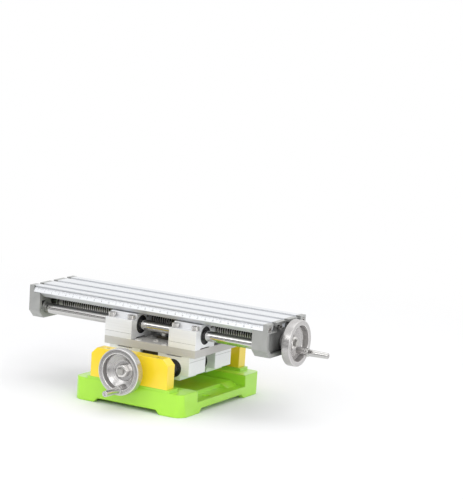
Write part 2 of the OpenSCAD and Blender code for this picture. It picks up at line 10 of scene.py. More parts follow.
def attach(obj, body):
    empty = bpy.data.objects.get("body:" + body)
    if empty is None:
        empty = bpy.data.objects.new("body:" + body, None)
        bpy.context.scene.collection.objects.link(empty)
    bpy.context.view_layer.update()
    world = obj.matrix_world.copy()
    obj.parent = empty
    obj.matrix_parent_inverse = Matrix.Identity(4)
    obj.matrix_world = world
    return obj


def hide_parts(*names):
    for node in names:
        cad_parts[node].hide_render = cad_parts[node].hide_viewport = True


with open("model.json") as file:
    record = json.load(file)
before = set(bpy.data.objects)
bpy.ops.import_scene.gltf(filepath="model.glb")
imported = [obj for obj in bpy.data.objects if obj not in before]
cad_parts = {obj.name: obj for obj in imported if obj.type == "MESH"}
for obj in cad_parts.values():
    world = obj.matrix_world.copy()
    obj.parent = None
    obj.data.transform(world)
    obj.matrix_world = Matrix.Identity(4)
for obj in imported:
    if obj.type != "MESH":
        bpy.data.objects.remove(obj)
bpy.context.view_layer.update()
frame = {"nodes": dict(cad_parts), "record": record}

MM = 0.001
NODES = frame["nodes"]
SLOT_OF = {row["node"]: row["material_slot"] for row in frame["record"]["subparts"]}

# Sizes shared with the solids, in millimetres
TABLE_X, SADDLE_Y = -12.0, 3.0
CROSS_Z, LONG_Z, ROD_Z = 45.0, 87.0, 84.0
PLATE_Z, PLATE_TOP = 60.0, 69.0
TABLE_Z, TABLE_HALF, TABLE_W, EDGE_IN = 98.0, 155.0, 90.0, 5.0
NOSE_RISE, NOSE_RUN, BRACKET_IN = 6.0, 9.0, 0.5
THRUST = 0.1
SCREW_R, JOURNAL_R, PITCH, THREAD_DEPTH, SHOULDER = 6.0, 4.0, 3.0, 1.5, 5.0
HUB_L, RIM_W, WHEEL_R, RIM_T, DISH, WEB_FALL = 12.0, 10.0, 26.5, 6.0, 7.8, 5.0
HUB_FACE_R, HUB_BACK_R, HUB_BACK_L, HANDLE_AT = 11.5, 9.0, 4.0, 20.0
WHEEL_FRONT = HUB_L + RIM_W
WEB_FRONT = WHEEL_FRONT - DISH
HUB_TOP = WEB_FRONT - WEB_FALL
BOSS_SINK, BOSS_PROUD = 1.5, 0.5
BOSS_R, BOSS_LOW, BOSS_TOP = 5.2, HUB_L - BOSS_SINK, WHEEL_FRONT + BOSS_PROUD
NUT_AF, NUT_H, PAST_NUT = 13.0, 6.5, 3.0
STUD_R, HANDLE_L, HANDLE_R, TIP_R, COLLAR_R, COLLAR_H = 3.0, 28.0, 4.0, 3.4, 5.0, 3.0
END_FACE_Y, END_IN_Y, REAR_SEAT = 88.0, 73.0, 11.0
BRACKET_WEB, LEFT_IN, RIGHT_IN = 157.0, 146.0, 141.5
BLOCK_L, BLOCK_W, BEARING_R, BEARING_PROUD, ROD_R = 36.0, 42.0, 10.5, 0.4, 6.0
UPPER_X, UPPER_Y, LOWER_X, LOWER_Y = 43.0, 29.0, 33.0, 29.0
LOWER_SHIFT = -2.5
LOWER_MID_Y = SADDLE_Y + LOWER_SHIFT

# Axes of turned pieces: local Z along the axis, with the handles where they stand at rest, in degrees
CROSS_HANDLE, LONG_HANDLE = -84, 322
Z_TO_FRONT = Matrix.Rotation(math.radians(90), 4, "X")
Z_TO_BACK = Matrix.Rotation(math.radians(-90), 4, "X")
Z_TO_RIGHT = Matrix(((0, 0, 1, 0), (1, 0, 0, 0), (0, 1, 0, 0), (0, 0, 0, 1)))
CROSS_AXES = Matrix.Translation((0, -END_FACE_Y - THRUST, CROSS_Z)) @ Z_TO_FRONT
LONG_AXES = Matrix.Translation((TABLE_X + BRACKET_WEB + THRUST, SADDLE_Y, LONG_Z)) @ Z_TO_RIGHT
CROSS_WHEEL = CROSS_AXES @ Matrix.Rotation(math.radians(CROSS_HANDLE), 4, "Z")
LONG_WHEEL = LONG_AXES @ Matrix.Rotation(math.radians(LONG_HANDLE), 4, "Z")


# Materials

ALONG_X = (0.02, 1, 1)
AXIS_X, AXIS_Y, AXIS_Z = 0, 1, 2
NOISE_LOW, NOISE_HIGH = 0.3, 0.7
FINE_SAMPLES = 8


def srgb(r, g, b):
    """A colour given in the usual 0 to 255 steps, as Blender's linear colour."""
    def linear(v):
        v /= 255
        return v / 12.92 if v <= 0.04045 else ((v + 0.055) / 1.055) ** 2.4
    return (linear(r), linear(g), linear(b), 1.0)


class Surface:
    """A Principled material with a few pattern helpers, all in object coordinates."""

    def __init__(self, name, colour, metallic=0.0, roughness=0.4, coat=0.0, coat_roughness=0.1,
                 specular=0.5):
        self.mat = bpy.data.materials.new(name)
        self.mat.use_nodes = True
        self.tree = self.mat.node_tree
        self.bsdf = self.tree.nodes["Principled BSDF"]
        self.colour = colour
        self.coords = self.tree.nodes.new("ShaderNodeTexCoord")
        self.normal = None
        self.set("Base Color", colour)
        self.set("Metallic", metallic)
        self.set("Roughness", roughness)
        self.set("Coat Weight", coat)
        self.set("Coat Roughness", coat_roughness)
        self.set("Specular IOR Level", specular)

    def set(self, socket, value):
        """A value that is the same all over the surface."""
        self.bsdf.inputs[socket].default_value = value

    def link(self, a, b):
        """Joins an output to an input."""
        self.tree.links.new(a, b)

    def mapped(self, scale, location=(0, 0, 0)):
        """Object coordinates, stretched and moved."""
        node = self.tree.nodes.new("ShaderNodeMapping")
        node.inputs["Scale"].default_value = scale
        node.inputs["Location"].default_value = location
        self.link(self.coords.outputs["Object"], node.inputs["Vector"])
        return node.outputs["Vector"]

    def noise(self, scale, stretch=(1, 1, 1), detail=4.0, rough=0.55):
        """Noise with about so many grains in a metre."""
        node = self.tree.nodes.new("ShaderNodeTexNoise")
        node.inputs["Scale"].default_value = scale
        node.inputs["Detail"].default_value = detail
        node.inputs["Roughness"].default_value = rough
        self.link(self.mapped(stretch), node.inputs["Vector"])
        return node.outputs["Fac"]

    def rings(self, centre, axis, scale):
        """Turning marks: noise that changes only with the distance from an axis along X or Y."""
        node = self.tree.nodes.new("ShaderNodeTexNoise")
        node.noise_dimensions = "1D"
        node.inputs["Scale"].default_value = scale
        node.inputs["Detail"].default_value = 3.0
        self.link(self.radius(centre, axis), node.inputs["W"])
        return node.outputs["Fac"]

    def radius(self, centre, *axes):
        """Distance from a line along one axis, or from a plane along two."""
        keep = [0.0 if i in axes else 1.0 for i in range(3)]
        place = [-c * k for c, k in zip(centre, keep)]
        length = self.tree.nodes.new("ShaderNodeVectorMath")
        length.operation = "LENGTH"
        self.link(self.mapped(keep, place), length.inputs[0])
        return length.outputs["Value"]

    def blend(self, value, stops):
        """Base colour by a value: stops are rising values, each with its colour."""
        low, high = stops[0][0], stops[-1][0]
        fade = self.tree.nodes.new("ShaderNodeMapRange")
        fade.inputs["From Min"].default_value = low
        fade.inputs["From Max"].default_value = high
        ramp = self.tree.nodes.new("ShaderNodeValToRGB")
        marks = ramp.color_ramp.elements
        for at, colour in stops[1:-1]:
            marks.new((at - low) / (high - low)).color = colour
        marks[0].color = stops[0][1]
        marks[-1].color = stops[-1][1]
        self.link(value, fade.inputs["Value"])
        self.link(fade.outputs["Result"], ramp.inputs["Fac"])
        self.paint(ramp.outputs["Color"])

    def paint(self, colour):
        """Takes the base colour from a node."""
        self.painted = colour
        self.link(colour, self.bsdf.inputs["Base Color"])

    def grime(self, reach):
        """Painted shade: darkens the colour in corners and recesses, by how closed in they are, over a
        reach in millimetres.
        """
        node = self.tree.nodes.new("ShaderNodeAmbientOcclusion")
        node.samples = FINE_SAMPLES
        node.inputs["Distance"].default_value = reach * MM
        self.link(self.painted, node.inputs["Color"])
        self.paint(node.outputs["Color"])

    def vary_colour(self, fac, amount):
        """Makes the colour paler and darker by a share, as the noise goes."""
        ramp = self.tree.nodes.new("ShaderNodeValToRGB")
        dark = [c * (1 - amount) for c in self.colour[:3]] + [1.0]
        pale = [min(1.0, c * (1 + amount)) for c in self.colour[:3]] + [1.0]
        ramp.color_ramp.elements[0].position = NOISE_LOW
        ramp.color_ramp.elements[0].color = dark
        ramp.color_ramp.elements[1].position = NOISE_HIGH
        ramp.color_ramp.elements[1].color = pale
        self.link(fac, ramp.inputs["Fac"])
        self.paint(ramp.outputs["Color"])

    def vary_roughness(self, fac, low, high):
        """Roughness between two values, as the noise goes."""
        node = self.tree.nodes.new("ShaderNodeMapRange")
        node.inputs["From Min"].default_value = NOISE_LOW
        node.inputs["From Max"].default_value = NOISE_HIGH
        node.inputs["To Min"].default_value = low
        node.inputs["To Max"].default_value = high
        self.link(fac, node.inputs["Value"])
        self.link(node.outputs["Result"], self.bsdf.inputs["Roughness"])

    def soft_edges(self, radius):
        """Shades edges as if rounded by a radius in millimetres."""
        node = self.tree.nodes.new("ShaderNodeBevel")
        node.samples = FINE_SAMPLES
        node.inputs["Radius"].default_value = radius * MM
        self.normal = node.outputs["Normal"]
        self.link(self.normal, self.bsdf.inputs["Normal"])

    def bump(self, fac, depth, strength):
        """Relief of a depth in millimetres, laid over the relief that is there already."""
        node = self.tree.nodes.new("ShaderNodeBump")
        node.inputs["Distance"].default_value = depth * MM
        node.inputs["Strength"].default_value = strength
        self.link(fac, node.inputs["Height"])
        if self.normal:
            self.link(self.normal, node.inputs["Normal"])
        self.normal = node.outputs["Normal"]
        self.link(self.normal, self.bsdf.inputs["Normal"])


def enamel(name, colour, edge):
    """Gloss paint on a casting: soft orange peel, slight unevenness of colour and gloss."""
    s = Surface(name, colour, roughness=0.34, coat=0.7, coat_roughness=0.12)
    s.vary_colour(s.noise(26, detail=3), amount=0.045)
    s.vary_roughness(s.noise(60), low=0.28, high=0.42)
    s.soft_edges(edge)
    s.bump(s.noise(180, detail=2), depth=0.18, strength=0.25)
    s.bump(s.noise(900, detail=2), depth=0.04, strength=0.2)
    return s.mat


def drawn_metal(name, colour, roughness, amount, metallic, grime=None):
    """Extruded or ground metal: fine streaks along X."""
    s = Surface(name, colour, metallic=metallic, roughness=roughness)
    streak = s.noise(700, ALONG_X, detail=5)
    s.vary_colour(streak, amount)
    # Optional painted shade in corners and recesses, over the given reach in millimetres.
    if grime:
        s.grime(grime)
    s.vary_roughness(s.noise(240, ALONG_X), low=roughness - 0.07, high=roughness + 0.1)
    s.bump(streak, depth=0.04, strength=0.35)
    return s.mat


def table_metal(name, colour, dull, under, roughness):
    """The extruded table: bright top and scale face, duller upright edges, and a dark tone on the faces
    that look down, which is painted shade.
    """
    # Faces looking down take the dark tone: painted shade under the table.
    flat_down, push_down = -0.99, -2.0
    tone = [(-1.0, under), (-0.5, dull), (0.05, dull), (0.35, colour)]
    s = Surface(name, colour, metallic=0.45, roughness=roughness)
    split = s.tree.nodes.new("ShaderNodeSeparateXYZ")
    s.link(s.coords.outputs["Normal"], split.inputs["Vector"])
    inner = s.tree.nodes.new("ShaderNodeMath")
    inner.operation = "LESS_THAN"
    inner.inputs[1].default_value = (TABLE_W / 2 - EDGE_IN) * MM
    s.link(s.radius((0, SADDLE_Y * MM, 0), AXIS_X, AXIS_Z), inner.inputs[0])
    bright = s.tree.nodes.new("ShaderNodeMath")
    bright.operation = "MAXIMUM"
    s.link(split.outputs["Z"], bright.inputs[0])
    s.link(inner.outputs["Value"], bright.inputs[1])
    below = s.tree.nodes.new("ShaderNodeMath")
    below.operation = "LESS_THAN"
    below.inputs[1].default_value = flat_down
    s.link(split.outputs["Z"], below.inputs[0])
    shade = s.tree.nodes.new("ShaderNodeMath")
    shade.operation = "MULTIPLY_ADD"
    shade.inputs[1].default_value = push_down
    s.link(below.outputs["Value"], shade.inputs[0])
    s.link(bright.outputs["Value"], shade.inputs[2])
    s.blend(shade.outputs["Value"], tone)
    s.vary_roughness(s.noise(240, ALONG_X), low=roughness - 0.07, high=roughness + 0.1)
    s.bump(s.noise(700, ALONG_X, detail=5), depth=0.04, strength=0.35)
    return s.mat


def cast_metal(name, colour, roughness):
    """As-cast aluminium: grain at about half a millimetre and soft larger unevenness."""
    s = Surface(name, colour, metallic=0.5, roughness=roughness)
    s.vary_colour(s.noise(90, detail=5), amount=0.07)
    # Painted shade in the casting's corners and recesses, over 14 mm.
    s.grime(14)
    s.vary_roughness(s.noise(300), low=roughness - 0.08, high=roughness + 0.08)
    s.bump(s.noise(1500, detail=3), depth=0.09, strength=0.45)
    s.bump(s.noise(220, detail=2), depth=0.12, strength=0.3)
    return s.mat


def turned_metal(name, colour, painted_glint, roughness, centre, axis):
    """A handwheel: turning marks all over, and painted highlights as thin bright rings at the inner and
    outer edges of the rim.
    """
    s = Surface(name, colour, metallic=0.8, roughness=roughness)
    marks = s.rings(centre, axis, 900)
    # Bright rings near both edges of the rim: painted highlights.
    rim_in, brightest, end = WHEEL_R - RIM_T, 0.5, 1.1
    s.blend(s.radius(centre, axis), [
        (rim_in * MM, colour), ((rim_in + brightest) * MM, painted_glint), ((rim_in + end) * MM, colour),
        ((WHEEL_R - end) * MM, colour), ((WHEEL_R - brightest) * MM, painted_glint), (WHEEL_R * MM, colour)])
    s.vary_roughness(s.rings(centre, axis, 300), low=roughness - 0.08, high=roughness + 0.12)
    s.bump(marks, depth=0.06, strength=0.4)
    return s.mat


def plated_metal(name, colour, roughness, metallic=1.0, grime=None):
    """Chromed, zinc plated or oxidised metal: slightly uneven in colour and gloss."""
    scale = 500
    s = Surface(name, colour, metallic=metallic, roughness=roughness)
    s.vary_colour(s.noise(scale), amount=0.06)
    # Optional painted shade in corners and recesses, over the given reach in millimetres.
    if grime:
        s.grime(grime)
    s.vary_roughness(s.noise(scale / 3), low=roughness - 0.04, high=roughness + 0.08)
    s.bump(s.noise(scale * 3), depth=0.02, strength=0.2)
    return s.mat


def threaded_metal(name, colour, plain, dark, centre, axis):
    """A lead screw: bright plain ends and crests, and painted shade that darkens the roots of the
    thread.
    """
    s = Surface(name, colour, metallic=0.5, roughness=0.32)
    root, gap = SCREW_R - THREAD_DEPTH, 0.2
    # Dark colour at the root radius: painted shade between the crests.
    s.blend(s.radius(centre, axis), [
        ((JOURNAL_R + gap / 2) * MM, plain), ((root - gap) * MM, dark), ((root + gap) * MM, dark),
        ((SCREW_R - gap / 2) * MM, colour)])
    s.vary_roughness(s.noise(300), low=0.26, high=0.42)
    s.bump(s.noise(1500), depth=0.02, strength=0.2)
    return s.mat


def rubber(name, colour):
    """Satin black rubber with a fine grain."""
    s = Surface(name, colour, roughness=0.48, specular=0.4)
    s.vary_colour(s.noise(300), amount=0.25)
    s.vary_roughness(s.noise(120), low=0.4, high=0.6)
    s.bump(s.noise(1400), depth=0.04, strength=0.3)
    return s.mat


def ink(name, colour):
    """A thin dull mark on metal."""
    s = Surface(name, colour, roughness=0.6, specular=0.2)
    s.vary_colour(s.noise(400), amount=0.2)
    return s.mat


MATERIALS = {
    "green_paint": enamel("green_enamel", srgb(167, 227, 52), 2.6),
    "yellow_paint": enamel("yellow_enamel", srgb(250, 217, 38), 1.0),
    "chrome": plated_metal("chrome", srgb(205, 204, 202), 0.06, metallic=0.93),
    "dark_screw": plated_metal("black_oxide", srgb(52, 50, 48), 0.4),
    "black_seal": rubber("seal_rubber", srgb(34, 34, 37)),
    "cast_aluminium": cast_metal("cast_aluminium", srgb(176, 177, 175), 0.48),
    # The table's dark underside tone is painted shade.
    "table_aluminium": table_metal(
        "extruded_table", srgb(224, 226, 229), dull=srgb(220, 222, 225), under=srgb(112, 114, 117),
        roughness=0.4),
    "block_aluminium": drawn_metal(
        "block_aluminium", srgb(239, 240, 242), 0.4, amount=0.03, metallic=0.35),
    # The saddle plate gets painted shade in its corners and recesses, over 8 mm.
    "ground_steel": drawn_metal(
        "ground_steel", srgb(198, 196, 193), 0.4, amount=0.05, metallic=0.25, grime=8),
    "bronze": plated_metal("dull_bronze", srgb(82, 78, 70), 0.45),
    "bright_screw": plated_metal("zinc", srgb(226, 225, 222), 0.28, metallic=0.6),
}
# Nuts and block screws: bright zinc with painted shade in their recesses, over 5 mm.
NUT_METAL = plated_metal("nut_zinc", srgb(244, 242, 239), 0.18, metallic=0.75, grime=5)
# Bracket screws: a duller zinc with painted shade in the sockets and round the heads, over 5 mm.
ZINC_WITH_PAINTED_SHADE = plated_metal("zinc_with_painted_shade", srgb(172, 170, 167), 0.25, metallic=0.8, grime=5)
OTHER_METAL = {
    "upper_block_screws": NUT_METAL,
    "left_bracket_screws": ZINC_WITH_PAINTED_SHADE,
    "right_bracket_screws": ZINC_WITH_PAINTED_SHADE,
}
CROSS_CENTRE = (0, 0, CROSS_Z * MM)
LONG_CENTRE = (0, SADDLE_Y * MM, LONG_Z * MM)
WHEEL_GREY, WHEEL_ROUGH = srgb(192, 190, 189), 0.24
# Colours of the painted rim highlights; brighter on the cross wheel than on the long wheel.
CROSS_PAINTED_GLINT, LONG_PAINTED_GLINT = srgb(250, 249, 247), srgb(222, 220, 218)
CROSS_WHEEL_METAL = turned_metal(
    "cross_wheel_metal", WHEEL_GREY, CROSS_PAINTED_GLINT, WHEEL_ROUGH, CROSS_CENTRE, AXIS_Y)
LONG_WHEEL_METAL = turned_metal(
    "long_wheel_metal", WHEEL_GREY, LONG_PAINTED_GLINT, WHEEL_ROUGH, LONG_CENTRE, AXIS_X)
# The dark root colour is painted shade in the roots of the thread.
CREST, PLAIN_END, PAINTED_ROOT_SHADE = srgb(222, 220, 216), srgb(184, 182, 178), srgb(38, 36, 33)
CROSS_THREAD = threaded_metal("cross_thread", CREST, PLAIN_END, PAINTED_ROOT_SHADE, CROSS_CENTRE, AXIS_Y)
LONG_THREAD = threaded_metal("long_thread", CREST, PLAIN_END, PAINTED_ROOT_SHADE, LONG_CENTRE, AXIS_X)
INK = ink("scale_ink", srgb(70, 74, 80))
SEAM = ink("block_seam", srgb(150, 149, 150))


# Mesh helpers

SHARP = math.radians(35)
SEGMENTS, SMALL_SEGMENTS, SCREW_SEGMENTS = 96, 48, 36


def add_piece(name, bm, material, body, replaced=(), at=None):
    """Makes a piece from a bmesh drawn in millimetres, and lets it ride on a body."""
    transform = Matrix.Scale(MM, 4) @ (at or Matrix.Identity(4))
    bmesh.ops.transform(bm, matrix=transform, verts=bm.verts)
    bmesh.ops.recalc_face_normals(bm, faces=bm.faces)
    mesh = bpy.data.meshes.new(name)
    bm.to_mesh(mesh)
    bm.free()
    mesh.polygons.foreach_set("use_smooth", [True] * len(mesh.polygons))
    mesh.set_sharp_from_angle(angle=SHARP)
    mesh.materials.append(material)
    obj = bpy.data.objects.new(name, mesh)
    bpy.context.scene.collection.objects.link(obj)
    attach(obj, body)
    if replaced:
        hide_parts(*replaced)
    return obj


def rounded(points, radius, steps=4):
    """Rounds every inner corner of an open profile of (r, h) points."""
    most = 0.45
    out = [Vector(points[0])]
    for before, corner, after in zip(points, points[1:], points[2:]):
        a, c, b = Vector(before), Vector(corner), Vector(after)
        reach = min(radius, (a - c).length * most, (b - c).length * most)
        p, q = c + (a - c).normalized() * reach, c + (b - c).normalized() * reach
        for i in range(steps + 1):
            t = i / steps
            out.append(p * (1 - t) ** 2 + c * 2 * t * (1 - t) + q * t ** 2)
    out.append(Vector(points[-1]))
    return out


def lathe(bm, profile, offset=(0, 0), segments=SEGMENTS):
    """Turns a profile of (r, h) about local Z, moved by an offset in local X and Y."""
    on_axis = 1e-6
    rings = []
    for r, h in profile:
        if r < on_axis:
            rings.append([bm.verts.new((offset[0], offset[1], h))])
            continue
        ring = []
        for i in range(segments):
            a = 2 * math.pi * i / segments
            ring.append(bm.verts.new((offset[0] + r * math.cos(a), offset[1] + r * math.sin(a), h)))
        rings.append(ring)
    for low, high in zip(rings, rings[1:]):
        for i in range(segments):
            j = (i + 1) % segments
            if len(low) == 1 and len(high) == 1:
                continue
            if len(low) == 1:
                bm.faces.new((low[0], high[i], high[j]))
            elif len(high) == 1:
                bm.faces.new((low[i], high[0], low[j]))
            else:
                bm.faces.new((low[i], low[j], high[j], high[i]))


def quad(bm, corners):
    """One flat face."""
    bm.faces.new([bm.verts.new(c) for c in corners])


# Handwheels, handles, nuts and screws

WHEEL_ROUND, BOSS_ROUND, HANDLE_ROUND, SCREW_ROUND, END_ROUND = 1.0, 0.6, 0.8, 0.5, 0.6
NUT_THREAD_DEPTH, NUT_PITCH, NUT_THREAD_SEGMENTS = 0.5, 1.25, 40


def wheel_mesh():
    """A dished handwheel about local Z, with the boss that holds the handle."""
    bm = bmesh.new()
    rim_in = WHEEL_R - RIM_T
    lathe(bm, rounded([
        (JOURNAL_R, 0), (HUB_BACK_R, 0), (HUB_BACK_R, HUB_BACK_L), (rim_in, HUB_L), (WHEEL_R, HUB_L),
        (WHEEL_R, WHEEL_FRONT), (rim_in, WHEEL_FRONT), (rim_in, WEB_FRONT), (HUB_FACE_R, HUB_TOP),
        (JOURNAL_R, HUB_TOP)], WHEEL_ROUND))
    boss = [(STUD_R, BOSS_LOW), (BOSS_R, BOSS_LOW), (BOSS_R, BOSS_TOP), (STUD_R, BOSS_TOP)]
    lathe(bm, rounded(boss, BOSS_ROUND), (HANDLE_AT, 0), SMALL_SEGMENTS)
    return bm


def handle_mesh():
    """Collar, tapered bar and a small centre hole in the tip."""
    bm = bmesh.new()
    tip, hole_r, hole_deep = BOSS_TOP + HANDLE_L, 1.5, 2.0
    lathe(bm, rounded([
        (STUD_R, BOSS_LOW), (STUD_R, BOSS_TOP), (COLLAR_R, BOSS_TOP), (COLLAR_R, BOSS_TOP + COLLAR_H),
        (HANDLE_R, BOSS_TOP + COLLAR_H), (TIP_R, tip), (hole_r, tip), (hole_r, tip - hole_deep),
        (0, tip - hole_deep)], HANDLE_ROUND), (HANDLE_AT, 0), SMALL_SEGMENTS)
    return bm


def nut_mesh():
    """A hexagon nut with the usual 30 degree chamfer on its outer face."""
    bm = bmesh.new()
    steps, flat, chamfer = 72, NUT_AF / 2, math.radians(30)
    face_share, bore_clear = 0.96, 0.15
    top_r, bore = flat * face_share, JOURNAL_R + bore_clear
    rows = [[], [], [], [], []]
    for i in range(steps):
        a = 2 * math.pi * i / steps
        side = (a + math.pi / 6) % (math.pi / 3) - math.pi / 6
        edge = flat / math.cos(side)
        fall = (edge - top_r) * math.tan(chamfer)
        for row, (r, h) in zip(rows, (
                (bore, HUB_TOP), (edge, HUB_TOP), (edge, HUB_TOP + NUT_H - fall),
                (top_r, HUB_TOP + NUT_H), (bore, HUB_TOP + NUT_H))):
            row.append(bm.verts.new((r * math.cos(a), r * math.sin(a), h)))
    for low, high in zip(rows, rows[1:]):
        for i in range(steps):
            j = (i + 1) % steps
            bm.faces.new((low[i], low[j], high[j], high[i]))
    return bm


def thread(bm, start, length, radius, depth, pitch, segments=32):
    """A trapezoidal thread about local Z, cut off square at both ends."""
    # Shares of the pitch, each with its height from the crest
    section = ((0.0, -depth), (0.2, -depth), (0.36, 0.0), (0.66, 0.0), (0.82, -depth), (1.0, -depth))
    columns = []
    count = int((length / pitch + 1) * segments) + 1
    for k in range(count):
        a = 2 * math.pi * k / segments
        base = (k / segments - 1) * pitch
        column = []
        for along, rise in section:
            h = min(max(base + along * pitch, 0.0), length)
            r = radius + rise
            column.append(bm.verts.new((r * math.cos(a), r * math.sin(a), start + h)))
        columns.append(column)
    for left, right in zip(columns, columns[1:]):
        for i in range(len(section) - 1):
            bm.faces.new((left[i], right[i], right[i + 1], left[i + 1]))
    root, end = radius - depth, start + length
    lathe(bm, [(0, start), (root, start), (root, end), (0, end)], segments=segments)


def screw_mesh(body_from, body_to, end_from, end_to):
    """A lead screw about local Z with plain ends; heights from the back of the wheel hub."""
    bm = bmesh.new()
    start = body_from + SHOULDER
    shoulder = [(0, body_from), (SCREW_R, body_from), (SCREW_R, start), (0, start)]
    lathe(bm, rounded(shoulder, SCREW_ROUND), segments=SMALL_SEGMENTS)
    thread(bm, start, body_to - start, SCREW_R, THREAD_DEPTH, PITCH)
    plain_end = [(0, end_from), (JOURNAL_R, end_from), (JOURNAL_R, HUB_TOP)]
    lathe(bm, rounded(plain_end, END_ROUND), segments=SMALL_SEGMENTS)
    thread(bm, HUB_TOP, end_to - HUB_TOP, JOURNAL_R, NUT_THREAD_DEPTH, NUT_PITCH, NUT_THREAD_SEGMENTS)
    return bm


for name, at, body, metal in (
        ("cross", CROSS_WHEEL, "cross_drive", CROSS_WHEEL_METAL),
        ("long", LONG_WHEEL, "long_drive", LONG_WHEEL_METAL)):
    add_piece(name + "_wheel_turned", wheel_mesh(), metal, body,
              [name + "_handwheel"], at=at)
    add_piece(name + "_handle_bar", handle_mesh(), MATERIALS["chrome"], body,
              [name + "_handle"], at=at)
    add_piece(name + "_nut_chamfered", nut_mesh(), NUT_METAL, body,
              [name + "_wheel_nut"], at=at)

NUT_END = HUB_TOP + NUT_H + PAST_NUT
CROSS_BODY_END = -(END_FACE_Y + THRUST) + (END_IN_Y - THRUST)
add_piece("cross_screw_threaded",
          screw_mesh(CROSS_BODY_END - 2 * (END_IN_Y - THRUST), CROSS_BODY_END,
                     -(END_FACE_Y + THRUST) - (END_IN_Y + REAR_SEAT - THRUST), NUT_END),
          CROSS_THREAD, "cross_drive", ["cross_screw"], at=CROSS_WHEEL)
LONG_BODY_END = RIGHT_IN - THRUST - (BRACKET_WEB + THRUST)
add_piece("long_screw_threaded",
          screw_mesh(LONG_BODY_END - (LEFT_IN + RIGHT_IN - 2 * THRUST), LONG_BODY_END,
                     -2 * BRACKET_WEB, NUT_END),
          LONG_THREAD, "long_drive", ["long_screw"], at=LONG_WHEEL)


# Screws let into the saddle plate: low domed heads with a round recess, flush under the upper blocks

SUNK_R, SUNK_H, SUNK_SHANK_R, SUNK_L, SUNK_KEY = 4.9, 2.6, 2.5, 21.0, 2.2
NUT_SUNK_R, NUT_SUNK_H, NUT_SHANK_R, NUT_SUNK_L = 5.0, 3.4, 3.0, 16.0
DOME, CROSS_NUT_Y, BOLT_L, BOLT_W = 1.1, -35.0, 26.0, 30.5
SUNK_BELOW, KEY_DEEP, SHOULDER_R, SHOULDER_UP = 0.05, 1.2, 0.75, 0.65
SUNK_ROUND, SUNK_STEPS = 0.35, 3


def sunk_screw(bm, x, y, head_r, head_h, shank_r, length, dome):
    """A countersunk screw down from the top of the plate, with a dome of a height above it."""
    end, key_end = PLATE_TOP - length, PLATE_TOP - KEY_DEEP
    profile = [(0, end), (shank_r, end), (shank_r, PLATE_TOP - head_h), (head_r, PLATE_TOP - SUNK_BELOW),
               (head_r * SHOULDER_R, PLATE_TOP + dome * SHOULDER_UP), (SUNK_KEY, PLATE_TOP + dome),
               (SUNK_KEY, key_end), (0, key_end)]
    lathe(bm, rounded(profile, SUNK_ROUND, SUNK_STEPS), (x, y), SCREW_SEGMENTS)


def plate_screws():
    """Four screws for each lower block; only those near the middle of the plate have a dome."""
    bm = bmesh.new()
    for x, y, across, along in itertools.product((-1, 1), repeat=4):
        dome = DOME if across * x < 0 else 0.0
        at_x = x * LOWER_X + across * BOLT_W / 2
        at_y = LOWER_MID_Y + y * LOWER_Y + along * BOLT_L / 2
        sunk_screw(bm, at_x, at_y, SUNK_R, SUNK_H, SUNK_SHANK_R, SUNK_L, dome)
    return bm


def nut_screw():
    """The screw of the cross nut block."""
    bm = bmesh.new()
    sunk_screw(bm, 0, SADDLE_Y + CROSS_NUT_Y, NUT_SUNK_R, NUT_SUNK_H, NUT_SHANK_R, NUT_SUNK_L, DOME)
    return bm


add_piece("plate_screw_heads", plate_screws(), MATERIALS["bright_screw"], "saddle",
          ["lower_block_screws"])
add_piece("nut_screw_head", nut_screw(), MATERIALS["bright_screw"], "saddle",
          ["cross_nut_screw"])


# Linear bearings: black end seals with a lip and a raised ring

def bearing_mesh():
    """A sleeve about local Z with a seal at both ends; the seal's points are radii and depths."""
    bm = bmesh.new()
    half, seal_round, seal_steps = BLOCK_L / 2 + BEARING_PROUD, 0.25, 2
    lip = [(ROD_R + 0.05, -1.6), (ROD_R + 0.4, -0.9), (7.4, -0.5)]
    groove = [(7.9, -0.9), (9.0, -0.9)]
    shell = [(9.3, -0.05), (10.3, 0.0), (BEARING_R, -0.2)]
    end = [(r, half + d) for r, d in lip + groove + shell]
    lathe(bm, rounded([(r, -h) for r, h in end] + end[::-1], seal_round, seal_steps))
    return bm


for x, x_name in ((-1, "left"), (1, "right")):
    for y, y_name in ((-1, "front"), (1, "rear")):
        corner = y_name + "_" + x_name
        upper = Matrix.Translation((x * UPPER_X, SADDLE_Y + y * UPPER_Y, ROD_Z)) @ Z_TO_RIGHT
        lower = Matrix.Translation((x * LOWER_X, LOWER_MID_Y + y * LOWER_Y, CROSS_Z)) @ Z_TO_BACK
        for level, at in (("upper", upper), ("lower", lower)):
            add_piece(level + "_seal_" + corner, bearing_mesh(), MATERIALS["black_seal"], "saddle",
                      [level + "_bearing_" + corner], at=at)


# Extrusion lines on the sides of the bearing blocks

def block_lines():
    """A thin strip along both sides of each block, at the same height from the plate."""
    bm = bmesh.new()
    proud, high, up, inset = 0.03, 0.32, 6.3, 0.4
    half, length = BLOCK_W / 2 + proud, BLOCK_L / 2 - inset
    for x, y, side in itertools.product((-1, 1), repeat=3):
        cx, cy, z = x * UPPER_X, SADDLE_Y + y * UPPER_Y + side * half, PLATE_TOP + up
        quad(bm, [(cx - length, cy, z), (cx + length, cy, z),
                  (cx + length, cy, z + high), (cx - length, cy, z + high)])
        cx, cy, z = x * LOWER_X + side * half, LOWER_MID_Y + y * LOWER_Y, PLATE_Z - up
        quad(bm, [(cx, cy - length, z), (cx, cy + length, z),
                  (cx, cy + length, z + high), (cx, cy - length, z + high)])
    return bm


add_piece("block_extrusion_lines", block_lines(), SEAM, "saddle")


# Lips that close the arms of the brackets against the sloped lower edge of the table

LIP_PROUD, LIP_LAP, LIP_EDGE = 0.02, 0.6, 0.2


